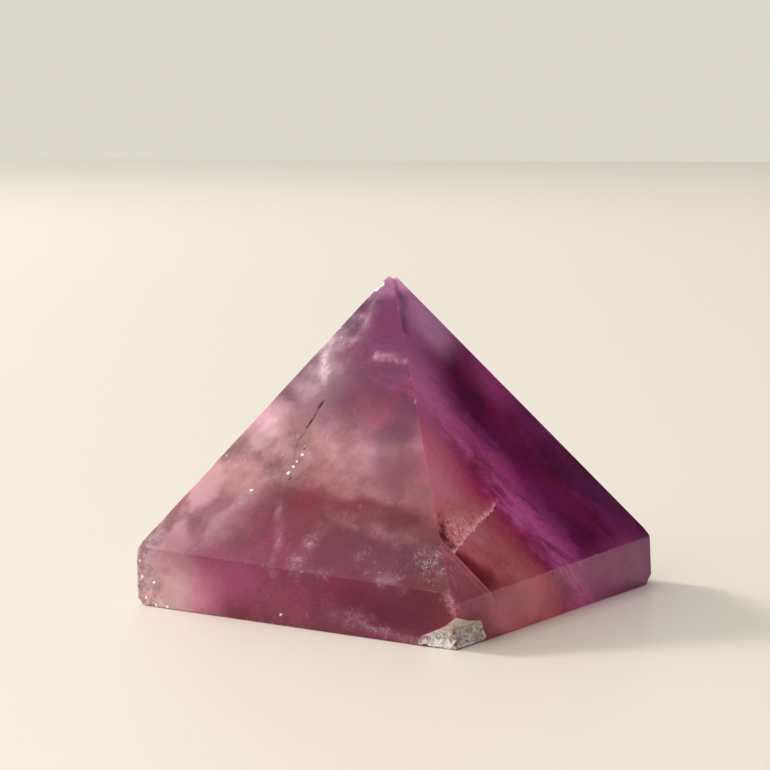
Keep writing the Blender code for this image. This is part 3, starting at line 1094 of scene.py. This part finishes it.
def dusted(s, dust):
    """Sparkling dust: grains and fine curling threads in the veils, and stray specks elsewhere."""
    g = s.g
    threads = g.times(
        g.middles(s.web, DUST_THREAD_WIDTH),
        g.smooth(s.cloud, 0.40, 0.52),
        g.smooth(s.z, *DUST_THREAD_TOP),
    )
    grains = g.any_of(g.smooth(s.frost, *DUST_GRAINS), threads)
    specks = g.times(g.smooth(s.frost, *STRAY_SPECKS), g.blend(s.milk, 0.06, 0.3))
    return g.any_of(g.times(dust, grains), specks)


def veiled(s, colour):
    """White haze and dust over the clouded stone. Also gives how whitish each place is."""
    g = s.g
    haze, dust, pale = g.node("ShaderNodeSeparateXYZ", g.attribute("veil", "Vector")).node.outputs
    pale = g.times(pale, g.smooth(s.cloud, 0.3, 0.6, 0.7, 1.0))
    colour = clouded(s, colour, pale)
    haze = g.any_of(haze, *narrow_veils(s))
    colour = g.mix(haze, colour, g.mix(g.smooth(s.z, *HAZE_CHANGE), HIGH_HAZE, LOW_HAZE))
    dusty = dusted(s, dust)
    colour = g.mix(g.times(dusty, 0.8), colour, DUST_WHITE)
    return colour, g.any_of(haze, dusty, pale)


def painted_glints(s, colour):
    """Painted glints: white spots that stand in for single bright sparks of reflected light, the
    largest of them at the apex. Also gives where they are.
    """
    g = s.g
    stray = g.times(g.centred(s.frost), PAINTED_GLINT_STRAY)
    sparks = g.add(g.far_from_spots(s.point, PAINTED_GLINTS), stray)
    apex = g.add(g.far_from_spots(s.point, PAINTED_APEX_GLINTS), stray)
    white = g.any_of(
        g.smooth(sparks, PAINTED_GLINT_SIZE, 0.5 * PAINTED_GLINT_SIZE),
        g.smooth(apex, PAINTED_APEX_GLINT_SIZE, 0.7 * PAINTED_APEX_GLINT_SIZE),
    )
    return g.mix(white, colour, PAINTED_GLINT_WHITE), white


def chipped(s, colour):
    """Broken stone is whitish. The corner chip is cream, partly its own pale tone and partly a painted
    reflection of the pale floor, with a brown seam, and white below it, whitish stone with patches of
    painted highlight.
    """
    g = s.g
    near = g.smooth(g.vector("DISTANCE", s.point, CHIP, out="Value"), *CHIP_NEAR)
    low = g.smooth(s.z, *CHIP_LOW)
    lower = g.mix(g.smooth(s.web, 0.42, 0.50), CHIP_PINK, CHIP_WHITE_AND_HIGHLIGHT)
    tone = g.mix(low, CHIP_ROOF_AND_REFLECTION, lower)
    tone = g.mix(g.smooth(s.frost, 0.56, 0.62, 0.0, 0.75), tone, g.mix(low, ROOF_FLECKS, LOW_FLECKS))
    tone = g.mix(near, OTHER_BREAKS, tone)
    colour = g.mix(g.times(s.broken, g.blend(near, 0.35, 0.95)), colour, tone)
    seam = g.times(g.line_mask(s.point, CHIP_SEAM, SEAM_WIDTH), near, s.broken)
    return g.mix(g.times(seam, 0.8), colour, SEAM_BROWN)


def cracked(s, colour):
    """The olive stain along the open crack."""
    g = s.g
    stain = g.line_mask(s.ragged, CRACK, CRACK_WIDTH)
    stain = g.times(stain, g.smooth(s.cloud, 0.35, 0.60, 0.3, 1.0))
    return g.mix(stain, colour, CRACK_OLIVE)


def absorb_light(tree):
    """Colours the light that goes through the stone, by how far it goes."""
    absorb = tree.nodes.new("ShaderNodeVolumeAbsorption")
    absorb.inputs["Color"].default_value = LIGHT_LET_THROUGH
    absorb.inputs["Density"].default_value = ABSORPTION
    tree.links.new(absorb.outputs[0], tree.nodes["Material Output"].inputs["Volume"])


def fluorite():
    """Purple stone with growth bands and milk in it, partly clear."""
    material = bpy.data.materials.new("fluorite")
    g = Graph(material)
    s = Stone(g)
    colour = fractured(s, banded(s))
    colour, flake = flaked(s, colour)
    colour, whitish = veiled(s, colour)
    # Painted highlights: white glint spots in the colour.
    colour, white = painted_glints(s, colour)
    colour = cracked(s, chipped(s, colour))

    solid = g.any_of(whitish, flake, s.broken, white)
    clear = g.times(g.blend(s.milk, *CLEARNESS), g.smooth(solid, 0.0, 1.0, 1.0, 0.2))
    rough = g.add(g.blend(s.milk, *POLISH_ROUGHNESS), g.times(s.broken, 0.1))
    g.set_shader(
        Base_Color=colour,
        Roughness=rough,
        IOR=FLUORITE_IOR,
        Specular_IOR_Level=REFLECTION_LEVEL,
        Transmission_Weight=clear,
        Subsurface_Weight=g.smooth(g.any_of(s.broken, white), 0.0, 1.0, 1.0, 0.15),
        Subsurface_Radius=SCATTER_SHARES,
        Subsurface_Scale=SCATTER_MM * MM,
    )
    absorb_light(g.tree)
    return material


# ---------------------------------------------------------------- studio


# The camera, in metres: fitted to the stone's corners in the photograph.
LENS, SENSOR = 106.93, 36.0
NEAREST_SEEN = 0.01
CAMERA_PLACE = (0.16819, -0.24843, 0.06087)
CAMERA_WAY = (-0.5622, 0.8197, -0.1095)
CAMERA_ROLL = math.radians(-0.28)

# The world: dim, bright around one way, and pale near the horizon.
SKY_DIM = (0.075, 0.07, 0.066, 1.0)
SKY_BRIGHT = (1.55, 1.51, 1.44, 1.0)
SKY_HORIZON = (0.72, 0.69, 0.61, 1.0)
SKY_BRIGHT_WAY = Vector((-0.64, -0.38, 0.66)).normalized()
SKY_BRIGHT_RANGE = (0.0, 0.85)  # cosine of the angle from there
HORIZON_RANGE = (0.28, 0.06)  # sine of the height

# The key light, a square panel that faces the stone's middle, in metres and watts.
KEY_WAY = Vector((-0.80, -0.11, 0.58)).normalized()
KEY_DISTANCE = 3.0
KEY_SIZE = 0.45
KEY_POWER = 52.0
KEY_COLOUR = "#FFF6EA"
STONE_MIDDLE = Vector((0.0, 0.0, 0.015))

FLOOR_HALF_SIDE = 4.0
FLOOR_COLOUR = "#E6E1D8"
FLOOR_ROUGHNESS = 0.35


def place_camera():
    data = bpy.data.cameras.new("camera")
    data.lens = LENS
    data.sensor_width = SENSOR
    data.clip_start = NEAREST_SEEN
    obj = bpy.data.objects.new("camera", data)
    turn = Vector(CAMERA_WAY).to_track_quat("-Z", "Y").to_matrix().to_4x4()
    roll = Matrix.Rotation(CAMERA_ROLL, 4, "Z")
    obj.matrix_world = Matrix.Translation(CAMERA_PLACE) @ turn @ roll
    bpy.context.scene.collection.objects.link(obj)
    bpy.context.scene.camera = obj


def key_light():
    data = bpy.data.lights.new("key", "AREA")
    data.shape = "SQUARE"
    data.size = KEY_SIZE
    data.energy = KEY_POWER
    data.color = linear(KEY_COLOUR)[:3]
    obj = bpy.data.objects.new("key", data)
    turn = KEY_WAY.to_track_quat("Z", "Y").to_matrix().to_4x4()
    obj.matrix_world = Matrix.Translation(KEY_WAY * KEY_DISTANCE + STONE_MIDDLE) @ turn
    obj.visible_transmission = False
    bpy.context.scene.collection.objects.link(obj)


def sky():
    """A dim room with a broad bright side at the left, and a low pale backdrop all round."""
    world = bpy.data.worlds.new("studio")
    bpy.context.scene.world = world
    g = Graph(world)
    way = g.vector("NORMALIZE", g.node("ShaderNodeTexCoord", out="Generated"))
    lit = g.smooth(g.dot(way, tuple(SKY_BRIGHT_WAY)), *SKY_BRIGHT_RANGE)
    height = g.dot(way, (0, 0, 1))
    colour = g.mix(g.smooth(height, *HORIZON_RANGE), g.mix(lit, SKY_DIM, SKY_BRIGHT), SKY_HORIZON)
    background = g.tree.nodes["Background"]
    g.tree.links.new(colour, background.inputs["Color"])
    background.inputs["Strength"].default_value = 1.0


def studio_floor():
    bm = bmesh.new()
    bmesh.ops.create_grid(bm, x_segments=1, y_segments=1, size=FLOOR_HALF_SIDE)
    obj = new_object("studio_floor", bm)
    obj.location.z = -FLOOR_GAP * MM
    material = bpy.data.materials.new("floor")
    Graph(material).set_shader(Base_Color=linear(FLOOR_COLOUR), Roughness=FLOOR_ROUGHNESS)
    obj.data.materials.append(material)


# ---------------------------------------------------------------- the scene


def main():
    stone = make_stone()
    stone.data.materials.append(fluorite())
    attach(stone, BODY)
    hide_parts(NODE)
    studio_floor()
    sky()
    key_light()
    bpy.context.scene.view_settings.view_transform = "Standard"
    place_camera()


main()
